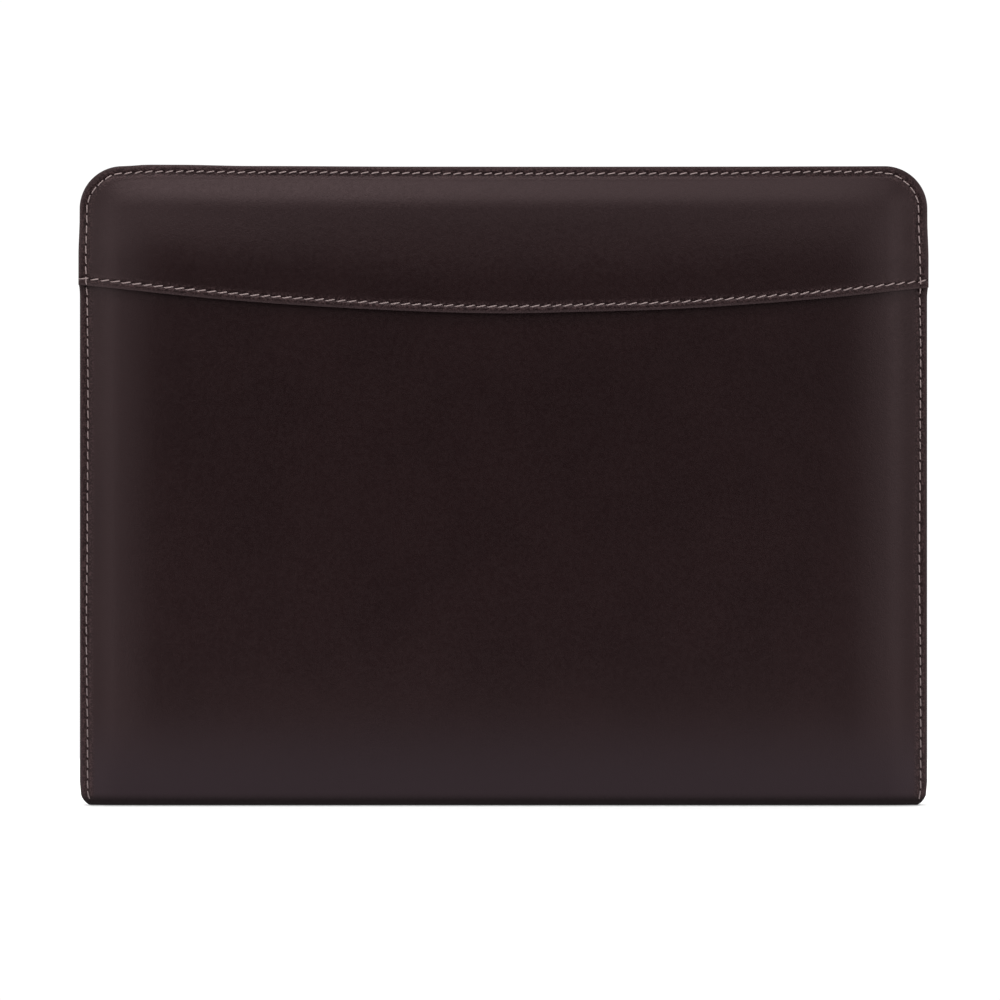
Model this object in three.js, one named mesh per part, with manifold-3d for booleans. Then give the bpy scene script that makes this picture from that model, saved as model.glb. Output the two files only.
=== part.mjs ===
// A slim leather document case, closed, standing on its folded spine.
// One hide wraps the front, the spine and the back. A yoke with a curved lower edge covers the top of
// the front. A zip set between the two stitched borders runs up one side, over the top and down the
// other. Millimetres: X across the case, Y from front to back, Z up from the surface it stands on.
import * as THREE from "three";
import { mergeVertices } from "three/addons/utils/BufferGeometryUtils.js";
import Module from "manifold-3d";

const wasm = await Module();
wasm.setup();

// The case as a whole
const WIDTH = 340;
const HEIGHT = 256.4;
const CORNER_R = 17.2; // the two top corners, seen from the front
const TOP_SAG = 0.5; // the top edge dips this much at its middle

// The two walls of the case
const LEATHER = 1.6;
const RIM_R = 0.9; // the rounded outer arris of the leather
const BORDER = 3.9; // the flat stitched border
const EDGE_HALF_DEPTH = 7.4; // from the mid-plane to the outer face of the border
const CUSHION = 2.4; // how far a panel rises beside its border
const CROWN = 2.6; // how much further it swells towards its middle
const CROWN_RUN = 62; // the distance from an edge over which it swells

// The spine, folded in one piece with both walls
const SPINE_R = 4.4;
const CORNER_PULL = 4.2; // the borders draw in this much where they meet the floor
const PULL_HEIGHT = 9; // and are straight from this height

// The yoke over the top of the front
const YOKE_DROP = 48.6; // from the top edge to the yoke's lower edge, at the sides of the case
const YOKE_DIP = 10.2; // how much lower that edge is at the middle
const YOKE_CURVE = 1.6; // the power that shapes the dip
const YOKE_SKIVED = 1.2; // the yoke's thickness where it laps over the front
const OVERLAP = 11; // how far the front runs up under it
const BORDER_STEP_RUN = 8; // the lap settles over this height at the borders
const PANEL_STEP_RUN = 26; // and over this height in the panel
const SEAM_BULGE = 0.35; // the lap widens the case by this much at each side

// The zip between the borders
const TAPE = 0.8;
const ZIP_INSET = 4; // from the outline of the case to the middle of the zip
const FLANGE_OUT = 1.7; // the sewn flange of each tape starts this far inside the outline
const FLANGE_IN = 8.5; // and ends this far inside it
const CHAIN_HALF_WIDTH = 2.6;
const CHAIN_HALF_THICK = 1.2;
const SLIDER_LENGTH = 12;
const SLIDER_HALF_WIDTH = 4;
const SLIDER_PLATE = 1;
const SLIDER_NECK = 2.4; // the solid end that stops the chain
const LIP = 0.7; // the slider's side lips over the tape
const LIP_THICK = 0.6;
const PULL_LENGTH = 28;
const PULL_WIDTH = 6;
const PULL_THICK = 0.7;
const STUD = 2.4; // the post that carries the pull, across and along

// Separate pieces that lie on each other keep this much air
const GAP = 0.3;

// Facets
const MIDDLE_COLUMNS = 14;
const FOLD_STEPS = 4;
const ARC_STEPS = 10;

// Sections of a wall from its rim inwards. Each inset runs from start to start plus share of its span.
// drop is a share of RIM_R, cut from the rim; rise is a share of CUSHION.
const EDGE_SECTIONS = [
  { start: 0, span: RIM_R, share: 0, drop: 1, rise: 0 },
  { start: 0, span: RIM_R, share: 0.35, drop: 0.25, rise: 0 },
  { start: 0, span: RIM_R, share: 1, drop: 0, rise: 0 },
  { start: 0, span: BORDER, share: 1, drop: 0, rise: 0 },
  { start: BORDER, span: CORNER_R - BORDER, share: 0.06, drop: 0, rise: 0.2 },
  { start: BORDER, span: CORNER_R - BORDER, share: 0.3, drop: 0, rise: 0.55 },
  { start: BORDER, span: CORNER_R - BORDER, share: 0.6, drop: 0, rise: 0.84 },
  { start: BORDER, span: CORNER_R - BORDER, share: 1, drop: 0, rise: 1 },
].map(({ start, span, share, drop, rise }) => ({ inset: start + span * share, drop, rise }));
const LAST = EDGE_SECTIONS.length - 1;

// Rows of the straight part of each wall, as shares of its height above the spine's fold
const BACK_ROWS = [0.94, 0.86, 0.74, 0.6, 0.46, 0.32, 0.2, 0.11, 0.05];
const FRONT_ROWS = [0.05, 0.12, 0.22, 0.36, 0.52, 0.68, 0.84, 0.95, 1];

const HALF_WIDTH = WIDTH / 2;
const CORNER_X = HALF_WIDTH - CORNER_R;
const CORNER_Z = HEIGHT - CORNER_R;
const STEP = YOKE_SKIVED + GAP; // the yoke stands this far over the front at the lap

// Columns of a wall, left to right: ring is the edge section it follows, side is -1, 0 or 1
function wallColumns() {
  const left = EDGE_SECTIONS.map((section, ring) => ({
    side: -1,
    ring,
    x: -(HALF_WIDTH - section.inset),
  }));
  const middle = Array.from({ length: MIDDLE_COLUMNS - 1 }, (_, i) => ({
    side: 0,
    ring: LAST,
    x: CORNER_X * ((2 * (i + 1)) / MIDDLE_COLUMNS - 1),
  }));
  const right = left.map((column) => ({ ...column, side: 1, x: -column.x })).reverse();
  return [...left, ...middle, ...right];
}
const COLUMNS = wallColumns();

// 0 at an edge, 1 from CROWN_RUN inwards
function swell(distance) {
  const share = Math.min(1, Math.max(0, distance / CROWN_RUN));
  return Math.sin((share * Math.PI) / 2);
}

function topSag(x) {
  const share = Math.min(1, Math.abs(x) / CORNER_X);
  return TOP_SAG * (1 - share * share);
}

// Distance of a wall's surface from the mid-plane, before its rim is rounded
function wallDepth(x, z, ring) {
  const { rise } = EDGE_SECTIONS[ring];
  const crown = swell(HALF_WIDTH - Math.abs(x)) * swell(HEIGHT - z) * swell(z);
  return EDGE_HALF_DEPTH + rise * (CUSHION + CROWN * crown);
}

// x and z of a wall where a column meets the given section down from the top edge
function topPlace(column, topRing) {
  if (column.side === 0) {
    return { x: column.x, z: HEIGHT - EDGE_SECTIONS[topRing].inset - topSag(column.x), ring: topRing };
  }
  const ring = Math.min(column.ring, topRing);
  const steps = LAST - ring;
  const along = column.ring === ring ? LAST - topRing : LAST - ring + (column.ring - ring);
  const angle = steps === 0 ? 0 : (along / (2 * steps)) * (Math.PI / 2);
  const radius = CORNER_R - EDGE_SECTIONS[ring].inset;
  return {
    x: column.side * (CORNER_X + radius * Math.cos(angle)),
    z: CORNER_Z + radius * Math.sin(angle),
    ring,
  };
}

// x of a column at a height, drawn in where the border meets the floor
function sidePlace(column, z) {
  const share = Math.max(0, 1 - z / PULL_HEIGHT);
  const hold = 1 - EDGE_SECTIONS[column.ring].inset / CORNER_R;
  return column.x - column.side * CORNER_PULL * share ** 2.5 * hold;
}

// One point of a wall: its outer and inner faces. normal points out of the case.
function layers(x, depth, z, normal, drop, wall) {
  const base = new THREE.Vector3(x, depth, z);
  return {
    outer: base.clone().addScaledVector(normal, -drop * RIM_R),
    inner: base.clone().addScaledVector(normal, -wall),
  };
}

function wallPoint(place, z, face, wall = LEATHER) {
  const depth = wallDepth(place.x, z, place.ring);
  const normal = new THREE.Vector3(0, face, 0);
  return layers(place.x, face * depth, z, normal, EDGE_SECTIONS[place.ring].drop, wall);
}

// One row round the fold of the spine: angle is 0 at the wall and a right angle under the case
function spineRow(face, angle) {
  return COLUMNS.map((column) => {
    const x = sidePlace(column, SPINE_R * (1 - Math.sin(angle)));
    const centre = face * (wallDepth(column.x, SPINE_R, column.ring) - SPINE_R);
    const normal = new THREE.Vector3(0, face * Math.cos(angle), -Math.sin(angle));
    const depth = centre + SPINE_R * normal.y;
    const z = SPINE_R + SPINE_R * normal.z;
    return layers(x, depth, z, normal, EDGE_SECTIONS[column.ring].drop, LEATHER);
  });
}

// The height of the yoke's lower edge
function yokeEdge(x) {
  return HEIGHT - YOKE_DROP - YOKE_DIP * (1 - (Math.abs(x) / HALF_WIDTH) ** YOKE_CURVE);
}

// A closed solid between the outer and inner faces of a grid of points
function sheet(rows) {
  const across = rows[0].length;
  const down = rows.length;
  const positions = [];
  for (const face of ["outer", "inner"]) {
    for (const row of rows) {
      for (const point of row) positions.push(...point[face].toArray());
    }
  }
  const id = (layer, j, i) => layer * across * down + j * across + i;
  const triangles = [];
  const quad = (a, b, c, d) => triangles.push(a, b, c, a, c, d);
  for (let j = 0; j + 1 < down; j += 1) {
    for (let i = 0; i + 1 < across; i += 1) {
      quad(id(0, j, i), id(0, j, i + 1), id(0, j + 1, i + 1), id(0, j + 1, i));
      quad(id(1, j, i), id(1, j + 1, i), id(1, j + 1, i + 1), id(1, j, i + 1));
    }
  }
  const rim = [];
  for (let i = 0; i + 1 < across; i += 1) rim.push([0, i]);
  for (let j = 0; j + 1 < down; j += 1) rim.push([j, across - 1]);
  for (let i = across - 1; i > 0; i -= 1) rim.push([down - 1, i]);
  for (let j = down - 1; j > 0; j -= 1) rim.push([j, 0]);
  rim.forEach(([j, i], n) => {
    const [nextJ, nextI] = rim[(n + 1) % rim.length];
    quad(id(0, nextJ, nextI), id(0, j, i), id(1, j, i), id(1, nextJ, nextI));
  });
  return facingOut(positions, triangles);
}

// A closed solid that joins equal rings of points. The caps are triangles over the first ring's points.
function loft(rings, caps) {
  const size = rings[0].length;
  const last = (rings.length - 1) * size;
  const positions = rings.flatMap((ring) => ring.flatMap((point) => point.toArray()));
  const triangles = caps.flatMap(([p, q, r]) => [p, r, q, p + last, q + last, r + last]);
  for (let r = 0; r + 1 < rings.length; r += 1) {
    for (let i = 0; i < size; i += 1) {
      const a = r * size + i;
      const b = r * size + ((i + 1) % size);
      triangles.push(a, b, b + size, a, b + size, a + size);
    }
  }
  return facingOut(positions, triangles);
}

// Merges shared points and turns the faces outwards
function facingOut(positions, triangles) {
  const raw = new THREE.BufferGeometry();
  raw.setAttribute("position", new THREE.Float32BufferAttribute(positions, 3));
  raw.setIndex(triangles);
  const geometry = mergeVertices(raw, 1e-4);
  const points = geometry.getAttribute("position");
  const index = Array.from(geometry.getIndex().array);
  const [a, b, c] = [new THREE.Vector3(), new THREE.Vector3(), new THREE.Vector3()];
  const kept = [];
  let volume = 0;
  for (let i = 0; i < index.length; i += 3) {
    const [p, q, r] = index.slice(i, i + 3);
    if (p === q || q === r || r === p) continue;
    kept.push([p, q, r]);
    a.fromBufferAttribute(points, p);
    b.fromBufferAttribute(points, q);
    c.fromBufferAttribute(points, r);
    volume += a.dot(b.cross(c));
  }
  geometry.setIndex(kept.flatMap((t) => (volume > 0 ? t : [t[0], t[2], t[1]])));
  geometry.computeVertexNormals();
  return geometry;
}

// Stations along the zip's run, inside the outline: up one side, over the top and down the other
function zipStations(inset, bottom) {
  const radius = CORNER_R - inset;
  const corner = (side, turn) => {
    const angle = (turn * Math.PI) / 2;
    return { x: side * (CORNER_X + radius * Math.cos(angle)), z: CORNER_Z + radius * Math.sin(angle) };
  };
  const turns = Array.from({ length: ARC_STEPS + 1 }, (_, i) => i / ARC_STEPS);
  const top = Array.from({ length: MIDDLE_COLUMNS - 1 }, (_, i) => {
    const x = CORNER_X * ((2 * (i + 1)) / MIDDLE_COLUMNS - 1);
    return { x, z: HEIGHT - inset - topSag(x) };
  });
  return [
    { x: -(HALF_WIDTH - inset), z: bottom[0] },
    ...turns.map((turn) => corner(-1, turn)),
    ...top,
    ...turns.map((turn) => corner(1, 1 - turn)),
    { x: HALF_WIDTH - inset, z: bottom[1] },
  ];
}

// Triangles over a section, each one in the order in which the section runs
function sectionTriangles(section) {
  const outline = section.map(({ inset, depth }) => new THREE.Vector2(inset, depth));
  const clockwise = THREE.ShapeUtils.isClockWise(outline);
  return THREE.ShapeUtils.triangulateShape(outline, []).map(([p, q, r]) => {
    const same = THREE.ShapeUtils.isClockWise([outline[p], outline[q], outline[r]]) === clockwise;
    return same ? [p, q, r] : [p, r, q];
  });
}

// A strip of the given section, as inset and depth, swept along the zip's run
function zipStrip(section, bottom) {
  const runs = section.map(({ inset }) => zipStations(inset, bottom));
  const rings = runs[0].map((_, station) =>
    section.map(({ depth }, i) => {
      const { x, z } = runs[i][station];
      return new THREE.Vector3(x, depth, z);
    }),
  );
  return loft(rings, sectionTriangles(section));
}

function solidOf(geometry) {
  const bare = geometry.clone();
  bare.deleteAttribute("normal");
  bare.deleteAttribute("uv");
  const merged = mergeVertices(bare, 1e-4);
  return new wasm.Manifold(
    new wasm.Mesh({
      numProp: 3,
      vertProperties: merged.getAttribute("position").array,
      triVerts: new Uint32Array(merged.getIndex().array),
    }),
  );
}

function geometryOf(solid) {
  const mesh = solid.getMesh();
  const geometry = new THREE.BufferGeometry();
  geometry.setAttribute("position", new THREE.BufferAttribute(mesh.vertProperties, 3));
  geometry.setIndex(new THREE.BufferAttribute(mesh.triVerts, 1));
  geometry.computeVertexNormals();
  return geometry;
}

// The hide from the top of the back, under the spine and up the front to its end below the yoke
function coverGeometry() {
  const rows = EDGE_SECTIONS.map((_, topRing) =>
    COLUMNS.map((column) => {
      const place = topPlace(column, topRing);
      return wallPoint(place, place.z, 1);
    }),
  );
  for (const share of BACK_ROWS) {
    const z = SPINE_R + share * (CORNER_Z - SPINE_R);
    rows.push(COLUMNS.map((column) => wallPoint(column, z, 1)));
  }
  const turns = Array.from({ length: FOLD_STEPS + 1 }, (_, i) => (i / FOLD_STEPS) * (Math.PI / 2));
  for (const angle of turns) rows.push(spineRow(1, angle));
  for (const angle of turns.reverse()) rows.push(spineRow(-1, angle));
  for (const share of FRONT_ROWS) {
    rows.push(
      COLUMNS.map((column) => {
        const end = yokeEdge(column.x) + OVERLAP;
        return wallPoint(column, SPINE_R + share * (end - SPINE_R), -1);
      }),
    );
  }
  return sheet(rows);
}

// How far the yoke is lifted at a height above its own lower edge, as a share of STEP
function yokeLift(above, ring) {
  const { rise } = EDGE_SECTIONS[ring];
  const run = BORDER_STEP_RUN + (PANEL_STEP_RUN - BORDER_STEP_RUN) * rise;
  const share = Math.min(1, Math.max(0, (above - OVERLAP - 2 * GAP) / run));
  return (1 + Math.cos(share * Math.PI)) / 2;
}

// Rows of the yoke near its lower edge: above is the height over that edge
const YOKE_LAP_ROWS = [
  { above: OVERLAP + GAP + BORDER_STEP_RUN, skived: false, drop: 0 },
  { above: OVERLAP + GAP + BORDER_STEP_RUN / 2, skived: false, drop: 0 },
  { above: OVERLAP + 3 * GAP, skived: false, drop: 0 },
  { above: OVERLAP + GAP, skived: true, drop: 0 },
  { above: OVERLAP / 2, skived: true, drop: 0 },
  { above: RIM_R / 2, skived: true, drop: 0 },
  { above: 0, skived: true, drop: 0.5 },
];

function yokePoint(place, z, skived, drop) {
  const above = z - yokeEdge(place.x);
  const lift = STEP * yokeLift(above, place.ring);
  const bulge = SEAM_BULGE * yokeLift(above, 0) * (1 - EDGE_SECTIONS[place.ring].inset / CORNER_R);
  const x = place.x + (place.side ?? Math.sign(place.x)) * bulge;
  const depth = wallDepth(place.x, z, place.ring) + lift;
  const wall = skived ? YOKE_SKIVED : LEATHER;
  const cut = Math.max(drop, EDGE_SECTIONS[place.ring].drop);
  return layers(x, -depth, z, new THREE.Vector3(0, -1, 0), cut, wall);
}

// The yoke from the top edge down to its curved lower edge
function yokeGeometry() {
  const rows = EDGE_SECTIONS.map((_, topRing) =>
    COLUMNS.map((column) => {
      const place = topPlace(column, topRing);
      return yokePoint(place, place.z, false, 0);
    }),
  );
  const first = YOKE_LAP_ROWS[0].above;
  for (const share of [0.5]) {
    rows.push(
      COLUMNS.map((column) => {
        const lap = yokeEdge(column.x) + first;
        return yokePoint(column, CORNER_Z + share * (lap - CORNER_Z), false, 0);
      }),
    );
  }
  for (const { above, skived, drop } of YOKE_LAP_ROWS) {
    rows.push(COLUMNS.map((column) => yokePoint(column, yokeEdge(column.x) + above, skived, drop)));
  }
  return sheet(rows);
}

// The zip's tapes end just above the inner face of the spine's fold
const FLANGE_DEPTH = EDGE_HALF_DEPTH - LEATHER - GAP;
const FOLD_INNER_R = SPINE_R - LEATHER;
const FOLD_REACH = FLANGE_DEPTH - (EDGE_HALF_DEPTH - SPINE_R);
const ZIP_BOTTOM = SPINE_R - Math.sqrt(FOLD_INNER_R ** 2 - FOLD_REACH ** 2) + GAP;

// One tape: a flange sewn under the border, and a wall that stands out to the chain
function tapeGeometry(face) {
  const wallOut = ZIP_INSET - TAPE / 2;
  const wallIn = ZIP_INSET + TAPE / 2;
  const under = FLANGE_DEPTH - TAPE;
  const tip = CHAIN_HALF_WIDTH + GAP;
  const section = [
    { inset: FLANGE_OUT, depth: FLANGE_DEPTH },
    { inset: FLANGE_IN, depth: FLANGE_DEPTH },
    { inset: FLANGE_IN, depth: under },
    { inset: wallIn, depth: under },
    { inset: wallIn, depth: tip },
    { inset: wallOut, depth: tip },
    { inset: wallOut, depth: under },
    { inset: FLANGE_OUT, depth: under },
  ];
  return zipStrip(
    section.map(({ inset, depth }) => ({ inset, depth: face * depth })),
    [ZIP_BOTTOM, ZIP_BOTTOM],
  );
}

// The closed chain between the tapes, from the fold on the left to the slider on the right
function chainGeometry() {
  const bevel = CHAIN_HALF_THICK / 2;
  const section = [
    { inset: ZIP_INSET - CHAIN_HALF_THICK, depth: -(CHAIN_HALF_WIDTH - bevel) },
    { inset: ZIP_INSET - CHAIN_HALF_THICK, depth: CHAIN_HALF_WIDTH - bevel },
    { inset: ZIP_INSET - bevel, depth: CHAIN_HALF_WIDTH },
    { inset: ZIP_INSET + bevel, depth: CHAIN_HALF_WIDTH },
    { inset: ZIP_INSET + CHAIN_HALF_THICK, depth: CHAIN_HALF_WIDTH - bevel },
    { inset: ZIP_INSET + CHAIN_HALF_THICK, depth: -(CHAIN_HALF_WIDTH - bevel) },
    { inset: ZIP_INSET + bevel, depth: -CHAIN_HALF_WIDTH },
    { inset: ZIP_INSET - bevel, depth: -CHAIN_HALF_WIDTH },
  ];
  return zipStrip(section, [ZIP_BOTTOM, ZIP_BOTTOM + SLIDER_NECK + GAP]);
}

// A box in the slider's own terms: from inset a to b, within half a width of the mid-plane, z low to high
function block(insetA, insetB, halfWidth, low, high, depth = 0) {
  const box = new THREE.BoxGeometry(insetB - insetA, 2 * halfWidth, high - low);
  box.translate(HALF_WIDTH - (insetA + insetB) / 2, depth, (low + high) / 2);
  return solidOf(box);
}

// The slider at the foot of the right side, with its pull lying up the groove between the borders
function sliderGeometry() {
  const low = ZIP_BOTTOM;
  const high = low + SLIDER_LENGTH;
  const clear = CHAIN_HALF_THICK + GAP;
  const outerTop = ZIP_INSET - clear - SLIDER_PLATE;
  const innerTop = ZIP_INSET + clear;
  const neckHalfWidth = SLIDER_HALF_WIDTH * 0.4;
  const stud = high - SLIDER_LENGTH / 2;
  const pullTop = outerTop - GAP;
  const parts = [
    block(outerTop, outerTop + SLIDER_PLATE, SLIDER_HALF_WIDTH, low, high),
    block(innerTop, innerTop + SLIDER_PLATE, SLIDER_HALF_WIDTH, low, high),
    block(outerTop + SLIDER_PLATE / 2, innerTop + SLIDER_PLATE / 2, neckHalfWidth, low, low + SLIDER_NECK),
    block(pullTop - PULL_THICK, pullTop, PULL_WIDTH / 2, stud - STUD, stud - STUD + PULL_LENGTH),
    block(pullTop - PULL_THICK / 2, outerTop + SLIDER_PLATE / 2, STUD / 2, stud - STUD / 2, stud + STUD / 2),
  ];
  for (const face of [-1, 1]) {
    const lip = face * (SLIDER_HALF_WIDTH - LIP_THICK / 2);
    const bite = SLIDER_PLATE / 2;
    const outerLip = outerTop + SLIDER_PLATE;
    parts.push(block(outerLip - bite, outerLip + LIP, LIP_THICK / 2, low, high, lip));
    parts.push(block(innerTop - LIP, innerTop + bite, LIP_THICK / 2, low, high, lip));
  }
  return geometryOf(parts.reduce((whole, part) => whole.add(part)));
}

const leather = new THREE.MeshStandardMaterial({ color: 0x2a1c1d, roughness: 0.46, metalness: 0 });
const tape = new THREE.MeshStandardMaterial({ color: 0x1f1718, roughness: 0.9, metalness: 0 });
const metal = new THREE.MeshStandardMaterial({ color: 0x8a7a5e, roughness: 0.35, metalness: 1 });

function node(name, geometry, material) {
  const mesh = new THREE.Mesh(geometry, material);
  mesh.name = name;
  return mesh;
}

const documentCase = new THREE.Group();
documentCase.add(
  node("cover", coverGeometry(), leather),
  node("yoke", yokeGeometry(), leather),
  node("zip_tape_front", tapeGeometry(-1), tape),
  node("zip_tape_back", tapeGeometry(1), tape),
  node("zip_chain", chainGeometry(), metal),
  node("zip_slider", sliderGeometry(), metal),
);

export default documentCase;
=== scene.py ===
import math

import bpy
from mathutils import Matrix, Vector


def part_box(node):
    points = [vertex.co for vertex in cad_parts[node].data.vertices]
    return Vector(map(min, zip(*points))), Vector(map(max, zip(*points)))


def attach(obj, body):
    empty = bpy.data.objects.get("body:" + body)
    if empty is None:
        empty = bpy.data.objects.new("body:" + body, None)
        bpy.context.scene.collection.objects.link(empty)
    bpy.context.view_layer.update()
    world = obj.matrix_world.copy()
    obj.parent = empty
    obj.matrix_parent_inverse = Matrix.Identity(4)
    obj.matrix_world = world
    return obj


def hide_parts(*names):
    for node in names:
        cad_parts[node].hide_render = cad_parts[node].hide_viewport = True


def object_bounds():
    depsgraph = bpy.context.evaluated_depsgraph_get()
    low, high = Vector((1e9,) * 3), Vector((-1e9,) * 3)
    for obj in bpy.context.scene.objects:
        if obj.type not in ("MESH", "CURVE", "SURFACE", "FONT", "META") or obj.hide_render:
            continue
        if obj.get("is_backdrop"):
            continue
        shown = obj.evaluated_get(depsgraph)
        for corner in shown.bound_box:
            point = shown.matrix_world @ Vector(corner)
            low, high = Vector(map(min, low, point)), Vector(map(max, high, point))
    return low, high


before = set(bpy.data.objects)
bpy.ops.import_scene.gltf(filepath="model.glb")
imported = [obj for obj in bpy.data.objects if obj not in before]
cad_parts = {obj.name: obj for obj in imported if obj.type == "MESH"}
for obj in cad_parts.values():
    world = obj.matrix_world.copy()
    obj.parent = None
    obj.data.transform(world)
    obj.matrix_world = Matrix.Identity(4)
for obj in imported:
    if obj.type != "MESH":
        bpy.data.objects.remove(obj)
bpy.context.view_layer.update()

# Lengths in this script are millimetres until a point is placed, and the model is in metres.
MM = 0.001

# The case
LOW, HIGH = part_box("cover")
WIDTH = (HIGH.x - LOW.x) / MM
HEIGHT = HIGH.z / MM
CORNER = 17.2
CORNER_X = WIDTH / 2 - CORNER
CORNER_Z = HEIGHT - CORNER
LEATHER = 1.6
BORDER = 3.9
EDGE_HALF_DEPTH = 7.4
CUSHION = 1.3
CROWN = 3.7
SIDE_RUN = 40.0
FOOT_RUN = 66.0
FOLD = 4.4
CORNER_PULL = 3.4
PULL_HEIGHT = 12.0
PULL_CURVE = 4.5
SEAM_BULGE = 0.35
RIM_DROP = 0.3
RIM_RUN = 2.6
# The cushion takes this share of its rise at once, beside the border, and the rest over the corner's width
FIRST_RISE, FIRST_RISE_RUN, CUSHION_CURVE = 0.07, 0.08, 2.1

# The top edge isn't quite straight: shares of its length, and how far it lies below a straight one there
TOP_LINE = [
    (0.0, 0.0), (0.034, -0.6), (0.075, -0.56), (0.17, -0.08), (0.38, 0.18), (0.56, 0.22), (0.82, 0.17),
    (0.95, 0.05), (1.0, 0.0),
]

# The yoke
YOKE_DROP = 48.7
YOKE_DIP = 10.6
YOKE_CURVE = 1.6
# Its edge isn't quite even: it runs up towards the left end and hangs a little right of the middle
LEFT_RISE, LEFT_RISE_RUN = 1.0, 40.0
RIGHT_HANG, RIGHT_HANG_AT, RIGHT_HANG_RUN = 0.78, 98.7, 55.0
SKIVED = 1.2
OVERLAP = 11.0
AIR = 0.3
STEP = SKIVED + AIR
# Above the lap the yoke's step fades out over this height, and over more of it where the panel is full
STEP_RUN, STEP_RUN_FULL = 16.0, 10.0
# Below the edge the seam still pushes the sides out a little
BULGE_RUN = 4.5
# The soft roll of leather between the yoke's seam and its edge
ROLL_HIGH, ROLL_AT, ROLL_WIDE = 0.1, 1.4, 0.8

# The stitching
BORDER_SEAM = 2.9
# The border's seam wanders a little: shares of its length, and how far inside the outline it lies there
SEAM_WANDER = [
    (0.0, 3.2), (0.027, 3.2), (0.085, 2.73), (0.128, 3.1), (0.193, 3.4), (0.274, 2.9), (0.288, 2.95),
    (0.302, 3.55), (0.3157, 2.9), (0.329, 2.86), (0.348, 2.7), (0.3675, 2.64), (0.406, 2.5), (0.445, 2.58),
    (0.484, 2.86), (0.561, 2.8), (0.6, 2.79), (0.638, 2.4), (0.658, 2.17), (0.677, 2.37), (0.686, 2.9),
    (0.697, 3.6), (0.719, 3.5), (0.7845, 2.7), (0.828, 2.9), (0.886, 3.25), (0.93, 2.8), (0.966, 2.7),
    (1.0, 2.7),
]
BORDER_PITCH = 4.12
YOKE_SEAM = 2.8
YOKE_PITCH = 4.34
FIRST_STITCH = 2.2
# The groove that the stitches press into the leather
BORDER_GROOVE, BORDER_GROOVE_WIDE = 0.1, 0.5
YOKE_GROOVE, YOKE_GROOVE_WIDE = 0.2, 0.45
THREAD_RADIUS = 0.235
BORDER_STITCH = 3.95
YOKE_STITCH = 4.15
YOKE_HOOK = 0.4
TOP_SLANT = 10
SIDE_SLANT = 1.5
YOKE_SLANT = 12

# The zip
ZIP_INSET = 4.0
TAPE = 0.8
TOOTH_PITCH = 2.5
TOOTH_WIDE = 1.24
TOOTH_LONG = 3.95
TOOTH_THICK = 2.3
# How far a tooth's head reaches past the middle, and the room at the chain's two ends
TOOTH_HEAD = 1.1
FIRST_TOOTH, LAST_TOOTH = 4.4, 1.2
STOP_HALF, STOP_HALF_DEPTH, STOP_LONG = 1.2, 2.6, 3.4
ZIP_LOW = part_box("zip_chain")[0].z / MM
SLIDER_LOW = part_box("zip_slider")[0].z / MM
SLIDER_LONG = 12.0
SLIDER_HALF = 4.0
NECK = 2.4
PLATE = 1.0
PULL_LONG = 28.0
PULL_HALF = 3.0
PULL_THICK = 0.7


# How a hide lies
def inset_at(x, z):
    """How far a point lies inside the outline of the case, as the front is seen."""
    from_side = WIDTH / 2 - abs(x)
    from_top = HEIGHT - top_sag(x) - z
    if from_side < CORNER and from_top < CORNER:
        return CORNER - math.hypot(CORNER - from_side, CORNER - from_top)
    return min(from_side, from_top)


def smooth(value):
    value = min(1.0, max(0.0, value))
    return value * value * (3 - 2 * value)


def read_off(table, share):
    """Goes smoothly from one entry of a table to the next."""
    for (start, a), (end, b) in zip(table, table[1:]):
        if share <= end:
            return a + (b - a) * smooth((share - start) / (end - start))
    return table[-1][1]


def top_sag(x):
    """The top edge isn't quite straight: how far it lies below a straight one, by shares of its length."""
    return read_off(TOP_LINE, 0.5 + 0.5 * x / CORNER_X)


def bell(distance, width):
    """1 at no distance, and soon nothing beyond the width."""
    return math.exp(-((distance / width) ** 2))


def swell(distance, run):
    """0 at an edge and 1 from the end of the run on, steep at first."""
    return 1 - max(0.0, 1 - distance / run) ** 2


def cushion_rise(inset):
    """How much of its fullness the panel has at an inset: none on the border, all of it in the panel."""
    share = min(1.0, max(0.0, (inset - BORDER) / (CORNER - BORDER)))
    return FIRST_RISE * smooth(share / FIRST_RISE_RUN) + (1 - FIRST_RISE) * (1 - (1 - share) ** CUSHION_CURVE)


def wall_depth(x, z, inset):
    """Distance of a wall's outer face from the mid-plane of the case."""
    crown = swell(WIDTH / 2 - abs(x), SIDE_RUN) * swell(HEIGHT - z, SIDE_RUN) * swell(max(0.0, z), FOOT_RUN)
    depth = EDGE_HALF_DEPTH + cushion_rise(inset) * (CUSHION + CROWN * crown)
    if inset > 2 * BORDER:
        return depth
    groove = BORDER_GROOVE * bell(inset - seam_inset(x, z), BORDER_GROOVE_WIDE)
    return depth - groove - RIM_DROP * max(0.0, 1 - inset / RIM_RUN) ** 2


def yoke_edge(x):
    """Height of the yoke's lower edge."""
    uneven = LEFT_RISE * bell(x + WIDTH / 2, LEFT_RISE_RUN)
    uneven -= RIGHT_HANG * bell(((x - RIGHT_HANG_AT) / RIGHT_HANG_RUN) ** 2, 1.0)
    return HEIGHT - YOKE_DROP - YOKE_DIP * (1 - (abs(x) / (WIDTH / 2)) ** YOKE_CURVE) + uneven


def yoke_lift(above, inset):
    """How far the yoke stands over the front, as a share of its step."""
    run = STEP_RUN + STEP_RUN_FULL * cushion_rise(inset)
    share = min(1.0, max(0.0, (above - OVERLAP - 2 * AIR) / run))
    return (1 + math.cos(share * math.pi)) / 2


def foot_pull(z):
    """How far the fold draws the sides in, close to the floor."""
    return CORNER_PULL * max(0.0, 1 - z / PULL_HEIGHT) ** PULL_CURVE


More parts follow.
